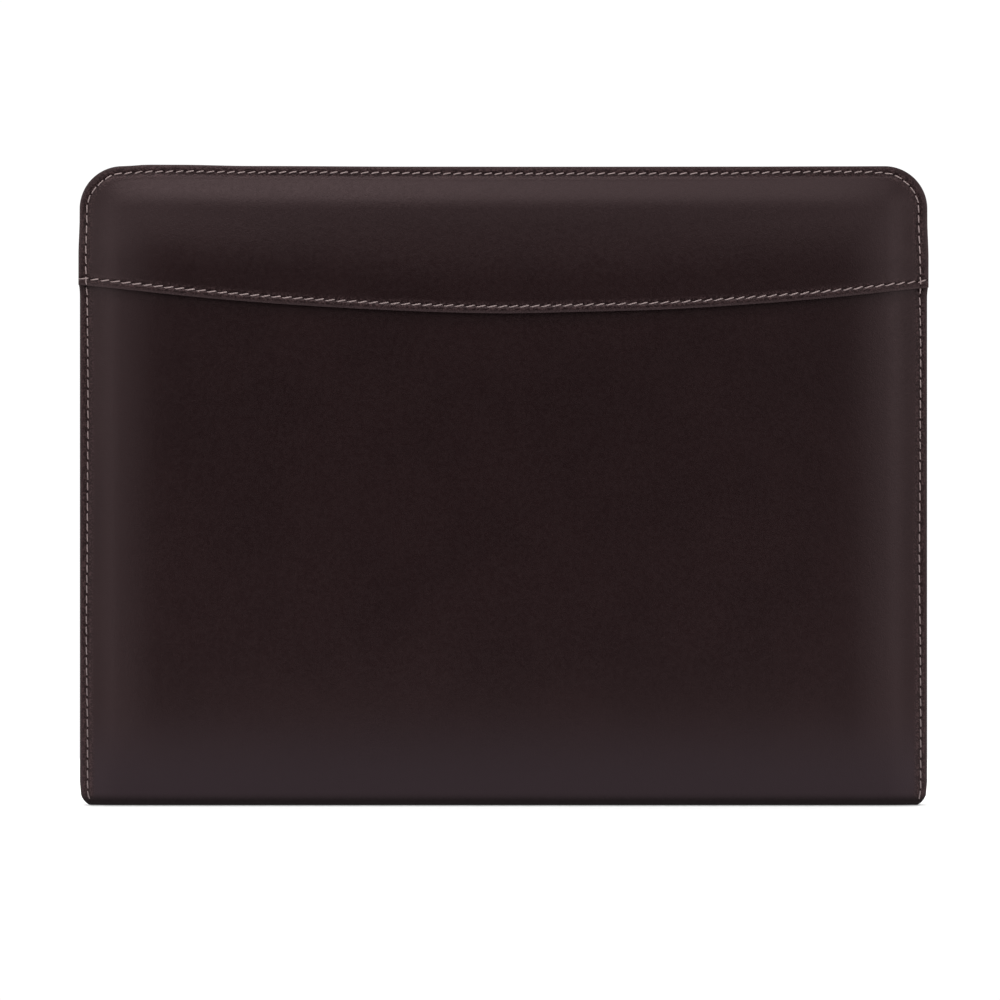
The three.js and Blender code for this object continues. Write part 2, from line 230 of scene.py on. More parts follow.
def seam_bulge(x, z, face):
    """How far the yoke's seam pushes the sides out at a height."""
    if face > 0:
        return 0.0
    above = z - yoke_edge(x)
    return SEAM_BULGE * (yoke_lift(above, 0) if above > 0 else max(0.0, 1 + above / BULGE_RUN) ** 2)


def yoke_relief(above):
    """The seam's groove and the soft roll between the seam and the edge."""
    roll = ROLL_HIGH * bell(above - ROLL_AT, ROLL_WIDE)
    return roll - YOKE_GROOVE * bell(above - YOKE_SEAM, YOKE_GROOVE_WIDE)


def yoke_depth(x, z, inset):
    """Distance of the yoke's outer face from the mid-plane of the case."""
    above = z - yoke_edge(x)
    return wall_depth(x, z, inset) + STEP * yoke_lift(above, inset) + yoke_relief(above)


def outline_run(x, z):
    """Distance along the border's seam, from the floor up the left side to this point."""
    seam_radius = CORNER - BORDER_SEAM
    bend = seam_radius * math.pi / 2
    if abs(x) > CORNER_X and z > CORNER_Z:
        turn = math.atan2(z - CORNER_Z, abs(x) - CORNER_X) * seam_radius
        if x < 0:
            return CORNER_Z + turn
        return CORNER_Z + bend + 2 * CORNER_X + bend - turn
    if abs(x) <= CORNER_X and HEIGHT - z < WIDTH / 2 - abs(x):
        return CORNER_Z + bend + x + CORNER_X
    if x < 0:
        return z
    return 2 * CORNER_Z + 2 * bend + 2 * CORNER_X - z


def edge_place(run, inset, path=None):
    """x and z at a distance along a path inside the outline, up the left side, over the top and down."""
    radius = CORNER - (inset if path is None else path)
    bend = radius * math.pi / 2
    if run <= CORNER_Z:
        return -(WIDTH / 2 - inset), run
    run -= CORNER_Z
    if run <= bend:
        turn = run / radius
        return -(CORNER_X + (CORNER - inset) * math.cos(turn)), CORNER_Z + (CORNER - inset) * math.sin(turn)
    run -= bend
    if run <= 2 * CORNER_X:
        x = run - CORNER_X
        return x, HEIGHT - inset - top_sag(x)
    run -= 2 * CORNER_X
    if run <= bend:
        turn = math.pi / 2 - run / radius
        return CORNER_X + (CORNER - inset) * math.cos(turn), CORNER_Z + (CORNER - inset) * math.sin(turn)
    return WIDTH / 2 - inset, CORNER_Z - (run - bend)


SEAM_LENGTH = outline_run(WIDTH / 2, 0)


def seam_inset(x, z):
    """How far inside the outline the border's seam runs near this point."""
    return read_off(SEAM_WANDER, min(1.0, max(0.0, outline_run(x, z) / SEAM_LENGTH)))


BORDER_STITCHES = round((SEAM_LENGTH - 2 * FIRST_STITCH) / BORDER_PITCH)
BORDER_STEP = (SEAM_LENGTH - 2 * FIRST_STITCH) / BORDER_STITCHES


def border_count(x, z):
    """Stitches counted along the border: a whole number is a hole."""
    return (outline_run(x, z) - FIRST_STITCH) / BORDER_STEP


def yoke_run(x, steps=400):
    """Distance along the yoke's edge from its middle."""
    total = 0.0
    for i in range(steps):
        a, b = x * i / steps, x * (i + 1) / steps
        total += math.hypot(b - a, yoke_edge(b) - yoke_edge(a))
    return total if x > 0 else -total


# Working by hand
def deselect():
    bpy.ops.object.select_all(action="DESELECT")


def pick(piece):
    deselect()
    piece.select_set(True)
    bpy.context.view_layer.objects.active = piece


def finish_piece(piece, stands_for, material, angle=35.0):
    """Applies the modifiers and the place, smooths the faces and joins the piece to the case."""
    pick(piece)
    for modifier in list(piece.modifiers):
        bpy.ops.object.modifier_apply(modifier=modifier.name)
    bpy.ops.object.transform_apply(location=True, rotation=True, scale=True)
    bpy.ops.object.shade_smooth_by_angle(angle=math.radians(angle))
    piece.data.materials.clear()
    piece.data.materials.append(material)
    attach(piece, "root")
    if stands_for:
        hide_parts(*stands_for)
    return piece


def join(pieces, name):
    deselect()
    for piece in pieces:
        piece.select_set(True)
    bpy.context.view_layer.objects.active = pieces[0]
    bpy.ops.object.join()
    joined = bpy.context.object
    joined.name = joined.data.name = name
    return joined


def copies(pattern, places, name):
    """One copy of the pattern at each place, joined, each copy with its own mesh. The pattern goes."""
    made = []
    for place in places:
        copy = pattern.copy()
        copy.data = pattern.data.copy()
        copy.data.transform(place)
        bpy.context.scene.collection.objects.link(copy)
        made.append(copy)
    bpy.data.objects.remove(pattern)
    return join(made, name)


def laid_sheet(name, rows, across, place, thickness, facts=()):
    """A flat grid whose points are laid at place(row, column) and that is then given its thickness."""
    deselect()
    bpy.ops.mesh.primitive_grid_add(x_subdivisions=across - 1, y_subdivisions=rows - 1, size=1.0)
    sheet = bpy.context.object
    sheet.name = sheet.data.name = name
    for fact_name in facts:
        sheet.data.attributes.new(fact_name, "FLOAT", "POINT")
    attributes = [sheet.data.attributes[fact_name] for fact_name in facts]
    for vertex in sheet.data.vertices:
        column = round((vertex.co.x + 0.5) * (across - 1))
        row = round((vertex.co.y + 0.5) * (rows - 1))
        point, values = place(row, column)
        vertex.co = Vector(point) * MM
        for attribute, value in zip(attributes, values):
            attribute.data[vertex.index].value = value
    pick(sheet)
    bpy.ops.object.mode_set(mode="EDIT")
    bpy.ops.mesh.select_all(action="SELECT")
    bpy.ops.mesh.remove_doubles(threshold=0.00001)
    bpy.ops.object.mode_set(mode="OBJECT")
    wall = sheet.modifiers.new("thickness", "SOLIDIFY")
    wall.thickness = thickness * MM
    wall.offset = -1
    wall.use_even_offset = True
    return sheet


def rounded(piece, width, segments, degrees=60):
    """Gives a piece's sharp edges a bevel, as a modifier."""
    bevel = piece.modifiers.new("rounded", "BEVEL")
    bevel.width = width * MM
    bevel.segments = segments
    bevel.limit_method = "ANGLE"
    bevel.angle_limit = math.radians(degrees)


def round_off(piece, width, segments, degrees=60):
    """Rounds a piece's sharp edges at once."""
    pick(piece)
    rounded(piece, width, segments, degrees)
    bpy.ops.object.modifier_apply(modifier="rounded")


def cut_across(axis, places):
    """Cuts the active piece across an axis at each place, so that it can be shaped there."""
    bpy.ops.object.mode_set(mode="EDIT")
    for place in places:
        bpy.ops.mesh.select_all(action="SELECT")
        bpy.ops.mesh.bisect(plane_co=Vector(axis) * (place * MM), plane_no=axis)
    bpy.ops.object.mode_set(mode="OBJECT")


# Where the points of a wall lie: closely set rings along the edge, wider ones over the panel
EDGE_RINGS = [0, 0.75, 1.3, 1.8, 2.25, 2.6, 2.9, 3.2, 3.6, 4.1, 4.7, 5.4, 6.3, 7.5, 9, 10.8, 13, 15, CORNER]
LAST = len(EDGE_RINGS) - 1
MIDDLE_COLUMNS = 78
COLUMNS = (
    [(-1, ring, -(WIDTH / 2 - inset)) for ring, inset in enumerate(EDGE_RINGS)]
    + [(0, LAST, CORNER_X * (2 * i / MIDDLE_COLUMNS - 1)) for i in range(1, MIDDLE_COLUMNS)]
    + [(1, ring, WIDTH / 2 - inset) for ring, inset in reversed(list(enumerate(EDGE_RINGS)))]
)


def top_place(column, top_ring):
    """x, z and inset where a column meets a ring of the top edge."""
    side, side_ring, x = COLUMNS[column]
    if side == 0:
        return x, HEIGHT - EDGE_RINGS[top_ring] - top_sag(x), EDGE_RINGS[top_ring]
    ring = min(side_ring, top_ring)
    steps = LAST - ring
    along = LAST - top_ring if side_ring == ring else LAST - ring + side_ring - ring
    turn = 0 if steps == 0 else along / (2 * steps) * math.pi / 2
    radius = CORNER - EDGE_RINGS[ring]
    return side * (CORNER_X + radius * math.cos(turn)), CORNER_Z + radius * math.sin(turn), EDGE_RINGS[ring]


def drawn_in(column, z, face=1):
    """x of a column at a height: in where the case meets the floor, out where the yoke's seam pulls it."""
    side, ring, x = COLUMNS[column]
    hold = 1 - EDGE_RINGS[ring] / CORNER
    return x + side * hold * (seam_bulge(x, z, face) - hold * foot_pull(z))


# Materials
HIDE_DARK = (0.0094, 0.0037, 0.0041)
HIDE_LIGHT = (0.0112, 0.0046, 0.0050)
# Painted shade: the dark of the creases beside the seams, of the shadow under the yoke's edge and of the
# puckers' hollows
HIDE_CREASE_SHADE = (0.0070, 0.0030, 0.0032)
# Lighter worn patches on the puckers, brightened further as a painted highlight of the light they catch
HIDE_WEAR_AND_HIGHLIGHT = (0.0430, 0.0240, 0.0245)
# Painted shade on the fold of the spine, where it turns under towards the floor
HIDE_FOLD_SHADE = (0.0030, 0.0018, 0.0024)
# A lighter, bluish tone low on the hide: a painted reflection of the white floor
HIDE_FLOOR_REFLECTION = (0.0143, 0.0093, 0.0124)
# A lighter line along the rims and the yoke's lower edge: a painted highlight, strongest along the top
HIDE_RIM_HIGHLIGHT = (0.0380, 0.0250, 0.0260)
# A lighter band where the panel bends over its filling: a painted highlight
HIDE_BEND_HIGHLIGHT = (0.0164, 0.0088, 0.0094)
# Painted shade in the needle holes
NEEDLE_HOLE_SHADE = (0.0030, 0.0006, 0.0006)
THREAD_DARK = (0.370, 0.280, 0.276)
THREAD_LIGHT = (0.470, 0.360, 0.350)
THREAD_TWIST = (0.225, 0.160, 0.155)
# Darker thread, low on the yoke and along the lower sides
THREAD_DARKER_LOW = (0.110, 0.084, 0.086)
TAPE_DARK = (0.0060, 0.0034, 0.0036)
TAPE_LIGHT = (0.0240, 0.0150, 0.0150)
TAPE_WORN = (0.034, 0.023, 0.022)
BRASS_DULL = (0.200, 0.150, 0.090)
BRASS_RUBBED = (0.330, 0.250, 0.150)
# Heights in metres between which a tone of the hide changes: the painted shade of the fold, the painted floor
# reflection low down, the lit top rim
FOLD_SHADE = (0.0016, 0.0056)
FOOT_FLOOR_REFLECTION = (0.006, 0.045)
TOP_RIM = (0.246, 0.2545)
# Distances in millimetres between which a mark on the hide fades
HOLE_EDGE = (0.16, 0.48)
RIM_BAND = (0.1, 1.1)
YOKE_RIM_BAND = (0.4, 1.5)
PUCKER_BAND = (1.2, 3.4)
YOKE_PUCKER_BAND = (3.0, 5.2)
CREASE_BAND = (0.1, 0.8)
YOKE_CREASE_BAND = (0.1, 0.7)
YOKE_EDGE_BAND = (0.0, 3.0)
UNDER_YOKE_BAND = (0.3, 7.0)
# The band where the panel bends over its filling, painted lighter as a highlight
BEND_START = (7.0, 14.0)
BEND_END = (17.0, 33.0)
# Heights in metres over which the thread turns darker: low on the yoke, and along the lower sides
THREAD_DARK_YOKE_HEIGHTS = (0.189, 0.207)
THREAD_DARK_SIDE_HEIGHTS = (-0.04, 0.19)
# The tape's weave, in millimetres
LEAN_PITCH = 0.9
WEFT_PITCH = 0.55
WARP_PITCH = 0.45


def blank(name):
    material = bpy.data.materials.new(name)
    material.use_nodes = True
    tree = material.node_tree
    return material, tree, tree.nodes["Principled BSDF"]


def wire(tree, kind, inputs=(), **settings):
    """Adds a node. An input that is given a socket is joined to it, any other is set."""
    node = tree.nodes.new(kind)
    for name, value in settings.items():
        setattr(node, name, value)
    for key, value in dict(inputs).items():
        if isinstance(value, bpy.types.NodeSocket):
            tree.links.new(value, node.inputs[key])
        else:
            node.inputs[key].default_value = value
    return node


def calc(tree, operation, *values):
    return wire(tree, "ShaderNodeMath", enumerate(values), operation=operation).outputs[0]


def times(tree, first, second):
    return calc(tree, "MULTIPLY", first, second)


def plus(tree, first, second):
    return calc(tree, "ADD", first, second)


def fact(tree, name):
    return wire(tree, "ShaderNodeAttribute", attribute_name=name).outputs["Fac"]


def on_piece(tree):
    """The place on the piece, in metres."""
    return wire(tree, "ShaderNodeTexCoord").outputs["Object"]


def noise(tree, place, scale, detail=2.0):
    inputs = {"Vector": place, "Scale": scale, "Detail": detail}
    return wire(tree, "ShaderNodeTexNoise", inputs).outputs["Fac"]


def fade(tree, value, start, end, low=0.0, high=1.0):
    """Goes smoothly from low at start to high at end."""
    inputs = {"Value": value, "From Min": start, "From Max": end, "To Min": low, "To Max": high}
    return wire(tree, "ShaderNodeMapRange", inputs, interpolation_type="SMOOTHSTEP").outputs["Result"]


def blend_colour(tree, share, first, second):
    node = wire(tree, "ShaderNodeMix", {"Factor": share}, data_type="RGBA")
    for socket, value in ((node.inputs[6], first), (node.inputs[7], second)):
        if isinstance(value, bpy.types.NodeSocket):
            tree.links.new(value, socket)
        else:
            socket.default_value = (*value, 1)
    return node.outputs[2]


def needle_holes(tree, count, off_seam, pitch):
    """1 at each needle hole of a seam and 0 between them."""
    along = times(tree, calc(tree, "PINGPONG", count, 0.5), pitch)
    place = wire(tree, "ShaderNodeCombineXYZ", {"X": along, "Y": off_seam}).outputs[0]
    length = wire(tree, "ShaderNodeVectorMath", {0: place}, operation="LENGTH").outputs["Value"]
    return fade(tree, length, *HOLE_EDGE, 1.0, 0.0)


def near(tree, distance, start, end):
    """1 up to a distance on either side of a line, 0 from another distance on."""
    return fade(tree, calc(tree, "ABSOLUTE", distance), start, end, 1.0, 0.0)


def either(tree, first, second):
    return calc(tree, "MAXIMUM", first, second)


def raise_relief(tree, shader, relief, strength, distance):
    """Lets a pattern stand out of the surface by a distance in metres."""
    bump = wire(tree, "ShaderNodeBump", {"Height": relief, "Strength": strength, "Distance": distance})
    tree.links.new(bump.outputs[0], shader.inputs["Normal"])


def leather_paint(name, with_yoke_seam=False):
    """Smooth dark brown hide: fine pores, needle holes and puckers along its seams, with painted light and
    shade: a highlight on the rim and over the panel's bend, a floor reflection low down, shade in the holes,
    creases and fold and under the yoke.
    """
    material, tree, shader = blank(name)
    place = on_piece(tree)
    tone = noise(tree, place, 26.0)
    cloud = noise(tree, place, 700.0)
    crinkle = noise(tree, place, 1400.0)
    pores = noise(tree, place, 2600.0, 0.0)
    height = wire(tree, "ShaderNodeSeparateXYZ", {"Vector": place}).outputs["Z"]
    fold = fade(tree, height, *FOLD_SHADE, 1.0, 0.0)
    off_seam, inset = fact(tree, "off_seam"), fact(tree, "inset")
    holes = needle_holes(tree, fact(tree, "border_stitch"), off_seam, BORDER_STEP)
    crease_shade = near(tree, calc(tree, "SUBTRACT", off_seam, 0.3), *CREASE_BAND)
    pucker = near(tree, off_seam, *PUCKER_BAND)
    rim = times(tree, fade(tree, inset, *RIM_BAND, 1.0, 0.0), fade(tree, height, *TOP_RIM, 1.5, 0.2))
    bend = times(tree, fade(tree, inset, *BEND_START), fade(tree, inset, *BEND_END, 1.0, 0.0))
    if with_yoke_seam:
        above = fact(tree, "above_edge")
        off_yoke = calc(tree, "SUBTRACT", above, YOKE_SEAM)
        holes = either(tree, holes, needle_holes(tree, fact(tree, "yoke_stitch"), off_yoke, YOKE_STEP))
        crease_shade = either(tree, crease_shade, near(tree, off_yoke, *YOKE_CREASE_BAND))
        pucker = either(tree, pucker, fade(tree, above, *YOKE_PUCKER_BAND, 1.0, 0.0))
        rim = either(tree, rim, fade(tree, above, *YOKE_RIM_BAND, 1.5, 0.0))
        shade = fade(tree, above, *YOKE_EDGE_BAND, -0.35, 0.0)
    else:
        shade = fade(tree, fact(tree, "below_yoke"), *UNDER_YOKE_BAND, 0.6, 0.0)
    colour = blend_colour(tree, fade(tree, tone, 0.35, 0.65), HIDE_DARK, HIDE_LIGHT)
    # A painted highlight where the panel bends over its filling
    colour = blend_colour(tree, bend, colour, HIDE_BEND_HIGHLIGHT)
    # A painted reflection of the floor, fading out upwards from the fold
    colour = blend_colour(tree, fade(tree, height, *FOOT_FLOOR_REFLECTION, 1.0, 0.0), colour, HIDE_FLOOR_REFLECTION)
    # The puckers by the seams are mottled: painted shade in their hollows, wear and painted highlight on
    # their rises
    mottled_wear_and_shade = blend_colour(tree, fade(tree, crinkle, 0.42, 0.66), HIDE_CREASE_SHADE, HIDE_WEAR_AND_HIGHLIGHT)
    colour = blend_colour(tree, times(tree, pucker, 0.85), colour, mottled_wear_and_shade)
    # Painted shade in the creases beside the seams and the shadow under the yoke's lower edge
    colour = blend_colour(tree, either(tree, shade, times(tree, crease_shade, 0.5)), colour, HIDE_CREASE_SHADE)
    # A painted highlight along the rims and the yoke's lower edge
    colour = blend_colour(tree, times(tree, rim, 0.6), colour, HIDE_RIM_HIGHLIGHT)
    # Painted shade on the fold close to the floor
    colour = blend_colour(tree, fold, colour, HIDE_FOLD_SHADE)
    # Painted shade in the needle holes
    colour = blend_colour(tree, holes, colour, NEEDLE_HOLE_SHADE)
    tree.links.new(colour, shader.inputs["Base Color"])
    shader.inputs["Specular IOR Level"].default_value = 0.3
    shader.inputs["Specular Tint"].default_value = (1.0, 0.735, 0.75, 1)
    matt = fade(tree, cloud, 0.3, 0.7, 0.34, 0.41)
    dull = either(tree, times(tree, holes, 0.5), times(tree, fold, 0.45))
    tree.links.new(plus(tree, matt, dull), shader.inputs["Roughness"])
    relief = times(tree, crinkle, times(tree, pucker, 0.7))
    relief = plus(tree, relief, times(tree, cloud, 0.12))
    relief = plus(tree, relief, times(tree, pores, 0.12))
    relief = calc(tree, "SUBTRACT", relief, times(tree, holes, 0.5))
    raise_relief(tree, shader, relief, 0.7, 0.0004)
    return material


def thread_paint(name):
    """Waxed thread, twisted."""
    material, tree, shader = blank(name)
    run = wire(tree, "ShaderNodeTexCoord").outputs["UV"]
    slant = {"Vector": run, "Scale": (3.0, 7.0, 1.0), "Rotation": (0, 0, 0.6)}
    turned = wire(tree, "ShaderNodeMapping", slant).outputs[0]
    strands = {"Vector": turned, "Scale": 1.0, "Distortion": 0.6}
    twist = wire(tree, "ShaderNodeTexWave", strands, bands_direction="X").outputs["Fac"]
    place = on_piece(tree)
    patch = noise(tree, place, 160.0)
    height = wire(tree, "ShaderNodeSeparateXYZ", {"Vector": place}).outputs["Z"]
    colour = blend_colour(tree, patch, THREAD_DARK, THREAD_LIGHT)
    colour = blend_colour(tree, times(tree, twist, 0.45), colour, THREAD_TWIST)
    # The thread turns darker low on the yoke and along the lower sides
    rubbed = plus(tree, fade(tree, height, *THREAD_DARK_YOKE_HEIGHTS, 0.28, 0.0), fade(tree, height, *THREAD_DARK_SIDE_HEIGHTS, 0.4, 0.0))
    colour = blend_colour(tree, rubbed, colour, THREAD_DARKER_LOW)
    tree.links.new(colour, shader.inputs["Base Color"])
    shader.inputs["Roughness"].default_value = 0.55
    raise_relief(tree, shader, twist, 0.5, 0.00015)
    return material


def tape_paint(name):
    """Woven zip tape: a herringbone of fine warp ribs, counted in millimetres along and across it."""
    material, tree, shader = blank(name)
    along, across = fact(tree, "along"), fact(tree, "across")
    lean = times(tree, calc(tree, "PINGPONG", across, LEAN_PITCH), 0.8)
    weft = calc(tree, "SINE", times(tree, plus(tree, along, lean), 2 * math.pi / WEFT_PITCH))
    warp = calc(tree, "SINE", times(tree, across, 2 * math.pi / WARP_PITCH))
    weave = plus(tree, times(tree, weft, 0.3), times(tree, warp, 0.2))
    weave = plus(tree, weave, 0.5)
    worn = noise(tree, on_piece(tree), 90.0)
    colour = blend_colour(tree, weave, TAPE_DARK, TAPE_LIGHT)
    colour = blend_colour(tree, fade(tree, worn, 0.5, 0.8, 0.0, 0.35), colour, TAPE_WORN)
    tree.links.new(colour, shader.inputs["Base Color"])
    shader.inputs["Roughness"].default_value = 0.85
    shader.inputs["Sheen Weight"].default_value = 0.15
    shader.inputs["Sheen Roughness"].default_value = 0.5
    raise_relief(tree, shader, weave, 0.6, 0.0002)
    return material


def brass_paint(name):
    """Aged dark brass: rubbed bright in places, duller between."""
    material, tree, shader = blank(name)
    place = on_piece(tree)
    patch = noise(tree, place, 600.0)
    drawn_out = wire(tree, "ShaderNodeMapping", {"Vector": place, "Scale": (1.0, 1.0, 0.08)}).outputs[0]
    scratches = noise(tree, drawn_out, 4000.0)
    colour = blend_colour(tree, fade(tree, patch, 0.35, 0.65), BRASS_DULL, BRASS_RUBBED)
    tree.links.new(colour, shader.inputs["Base Color"])
    shader.inputs["Metallic"].default_value = 1.0
    tree.links.new(fade(tree, patch, 0.3, 0.7, 0.36, 0.27), shader.inputs["Roughness"])
    raise_relief(tree, shader, scratches, 0.15, 0.00005)
    return material


YOKE_HALF_RUN = yoke_run(WIDTH / 2)
YOKE_STITCHES = round(2 * YOKE_HALF_RUN / YOKE_PITCH)
YOKE_STEP = 2 * YOKE_HALF_RUN / YOKE_STITCHES

hide = leather_paint("dark_brown_hide")
yoke_hide = leather_paint("dark_brown_yoke_hide", with_yoke_seam=True)
thread = thread_paint("taupe_waxed_thread")
tape = tape_paint("dark_woven_tape")
brass = brass_paint("aged_brass")


# The hide round the back, the spine and the front
BACK_HEIGHTS = [CORNER_Z + (FOLD - CORNER_Z) * i / 46 for i in range(1, 46)]
FOLD_TURNS = [math.pi / 2 * i / 8 for i in range(9)]
FRONT_STEPS = 36
FRONT_END = 20
NEAR_YOKE = [-16, -12, -8.5, -6, -4.2, -3, -2, -1, 0, 2, 5, OVERLAP]
HIDE_ROWS = len(EDGE_RINGS) + len(BACK_HEIGHTS) + 2 * len(FOLD_TURNS) + FRONT_STEPS + len(NEAR_YOKE)
FAR = 99.0


def fold_place(face, turn, column):
    """A point of the spine, by how far the hide has turned round it."""
    _, ring, x = COLUMNS[column]
    inset = EDGE_RINGS[ring]
    centre = wall_depth(x, FOLD, inset) - FOLD
    z = FOLD - FOLD * math.sin(turn)
    depth = centre + FOLD * math.cos(turn)
    return (drawn_in(column, z), face * depth, z), seam_facts(x, z, inset)


def seam_facts(x, z, inset):
    """How far a point lies inside the outline, inside the border's seam, along it, and below the yoke."""
    if inset >= CORNER:
        inset = inset_at(x, z)
    return inset, inset - seam_inset(x, z), border_count(x, z), FAR


def hide_place(row, column):
    """The hide row by row: down the back, round the spine, up the front and under the yoke."""
    _, ring, x = COLUMNS[column]
    if row < len(EDGE_RINGS):
        x, z, inset = top_place(column, row)
        return (x, wall_depth(x, z, inset), z), seam_facts(x, z, inset)
    row -= len(EDGE_RINGS)
    inset = EDGE_RINGS[ring]
    if row < len(BACK_HEIGHTS):
        z = BACK_HEIGHTS[row]
        return (drawn_in(column, z), wall_depth(x, z, inset), z), seam_facts(x, z, inset)
    row -= len(BACK_HEIGHTS)
    if row < len(FOLD_TURNS):
        return fold_place(1, FOLD_TURNS[row], column)
    row -= len(FOLD_TURNS)
    if row < len(FOLD_TURNS):
        return fold_place(-1, FOLD_TURNS[-1 - row], column)
    row -= len(FOLD_TURNS)
    if row < FRONT_STEPS:
        z = FOLD + (row + 1) / FRONT_STEPS * (yoke_edge(x) - FRONT_END - FOLD)
    else:
        z = yoke_edge(x) + NEAR_YOKE[row - FRONT_STEPS]
    facts = seam_facts(x, z, inset)
    return (drawn_in(column, z, -1), -wall_depth(x, z, inset), z), (*facts[:3], yoke_edge(x) - z)


SEAM_FACTS = ("inset", "off_seam", "border_stitch", "below_yoke")
cover = laid_sheet("wrapped_hide", HIDE_ROWS, len(COLUMNS), hide_place, LEATHER, SEAM_FACTS)
rounded(cover, 0.6, 4)
finish_piece(cover, ["cover"], hide)

# The yoke, skived thin where it laps over the front and packed out above the end of the front
YOKE_ABOVE = [OVERLAP + more for more in (24, 19, 14, 10, 7, 4, 2, 0.9, 0.3)]
YOKE_ABOVE += [9.6, 8.2, 6.8, 5.6, 4.8, 4.2, 3.7, 3.3, 3.05, 2.8, 2.55, 2.3, 1.9, 1.5, 1.1, 0.75, 0]
YOKE_ROWS = len(EDGE_RINGS) + len(YOKE_ABOVE)


def yoke_place(row, column):
    """The yoke row by row, from the top edge down to its curved lower edge."""
    _, ring, x = COLUMNS[column]
    if row < len(EDGE_RINGS):
        x, z, inset = top_place(column, row)
    else:
        inset = EDGE_RINGS[ring]
        z = yoke_edge(x) + YOKE_ABOVE[row - len(EDGE_RINGS)]
        z = min(z, CORNER_Z - 0.02 * (YOKE_ROWS - row))
    above = z - yoke_edge(x)
    bulge = SEAM_BULGE * yoke_lift(above, 0) * max(0.0, 1 - inset / CORNER)
    depth = yoke_depth(x, z, inset)
    count = (yoke_runs[column] + YOKE_HALF_RUN) / YOKE_STEP
    substance = LEATHER + STEP * yoke_lift(above, inset) if above > OVERLAP + 0.5 else SKIVED
    values = (*seam_facts(x, z, inset), above, count, substance / 2 / LEATHER)
    return (x + math.copysign(bulge, x), -depth, z), values


yoke_runs = [yoke_run(x) for _, _, x in COLUMNS]
YOKE_FACTS = (*SEAM_FACTS, "above_edge", "yoke_stitch", "substance")
yoke = laid_sheet("yoke_hide", YOKE_ROWS, len(COLUMNS), yoke_place, 2 * LEATHER, YOKE_FACTS)
pick(yoke)
bpy.ops.object.mode_set(mode="EDIT")
bpy.ops.mesh.select_all(action="SELECT")
bpy.ops.mesh.flip_normals()
bpy.ops.object.mode_set(mode="OBJECT")
skive = yoke.vertex_groups.new(name="substance")
for vertex in yoke.data.vertices:
    skive.add([vertex.index], yoke.data.attributes["substance"].data[vertex.index].value, "REPLACE")
yoke.modifiers["thickness"].vertex_group = "substance"
rounded(yoke, 0.5, 4)
finish_piece(yoke, ["yoke"], yoke_hide)


# Stitches: one thread that comes up, lies over the leather and dives again
STITCH_STANDS, STITCH_DIVES = 0.14, 0.72
HIGH_SWAY, LOW_SWAY = 0.12, 0.24
HOOK_FROM = 0.68


def one_stitch(length, tail=0.0):
    """X along the seam, Z outwards: a round back, diving ends, a slight S. A tail hooks the low end aside."""
    deselect()
    bpy.ops.mesh.primitive_cylinder_add(
        vertices=8, radius=THREAD_RADIUS * MM, depth=length * MM, rotation=(0, math.pi / 2, 0)
    )
    stitch = bpy.context.object
    bpy.ops.object.transform_apply(rotation=True)
    cut_across((1, 0, 0), [share * length for share in (-0.44, -0.34, -0.18, 0.0, 0.18, 0.34, 0.44)])
    for vertex in stitch.data.vertices:
        share = vertex.co.x / (length * MM / 2)
        sway, hooked = (LOW_SWAY, tail) if share < 0 else (HIGH_SWAY, 0.0)
        hook = hooked * max(0.0, abs(share) - HOOK_FROM) / (1 - HOOK_FROM) * MM
        dive = STITCH_DIVES - 1.05 * hooked
        vertex.co.x -= hook
        vertex.co.y = vertex.co.y * (1.1 - 0.45 * share**4) + sway * share**3 * MM + 1.1 * hook
        vertex.co.z = vertex.co.z * (1 - 0.3 * share**4) + (STITCH_STANDS - dive * share**4) * MM
    pick(stitch)
    bpy.ops.object.shade_smooth()
    return stitch


def seat(point, ahead, outward, slant):
    """A place on a surface: X along the seam, turned by slant about the outward direction, Z outward."""
    forward = ahead - outward * ahead.dot(outward)
    forward.normalize()
    forward = Matrix.Rotation(slant, 4, outward) @ forward
    side = outward.cross(forward)
    turn = Matrix((forward, side, outward)).transposed().to_4x4()
    return Matrix.Translation(point * MM) @ turn


# A stitch takes its direction from points this far before and behind its middle, and this far beside it
HALF_HOLD = 1.2
BESIDE = 0.05


def border_surface(run, face, aside=0.0):
    """The point of the border's outer face on its seam, or a little inside it."""
    x, z = edge_place(run, BORDER_SEAM)
    inset = seam_inset(x, z) + aside
    x, z = edge_place(run, inset, BORDER_SEAM)
    hold = 1 - inset / CORNER
    drawn = x + math.copysign(1, x) * hold * (seam_bulge(x, z, face) - hold * foot_pull(z))
    if z < FOLD:
        centre = wall_depth(x, FOLD, inset) - FOLD
        return Vector((drawn, face * (centre + math.sqrt(FOLD**2 - (FOLD - z) ** 2)), z))
    if face < 0 and z > yoke_edge(x):
        return Vector((drawn, -yoke_depth(x, z, inset), z))
    return Vector((drawn, face * wall_depth(x, z, inset), z))


def across_seam(back, middle, front, beside, face, slant):
    """A seat for a stitch on three points of a seam, with a fourth that lies beside it on the leather."""
    ahead = front - back
    outward = ahead.cross(beside - middle)
    outward.normalize()
    if outward.y * face < 0:
        outward = -outward
    return seat((back + front) * 0.3 + middle * 0.4, ahead, outward, math.radians(slant))


def border_seats(face):
    """Seats for the stitches of a wall's border, up the left side, over the top and down the right."""
    places = []
    for i in range(BORDER_STITCHES):
        run = FIRST_STITCH + (i + 0.5) * BORDER_STEP
        points = [border_surface(run + step, face) for step in (-HALF_HOLD, 0, HALF_HOLD)]
        points.append(border_surface(run, face, BESIDE))
        slant = TOP_SLANT if abs(points[1].x) < CORNER_X else SIDE_SLANT
        places.append(across_seam(*points, face, -face * slant))
    return places


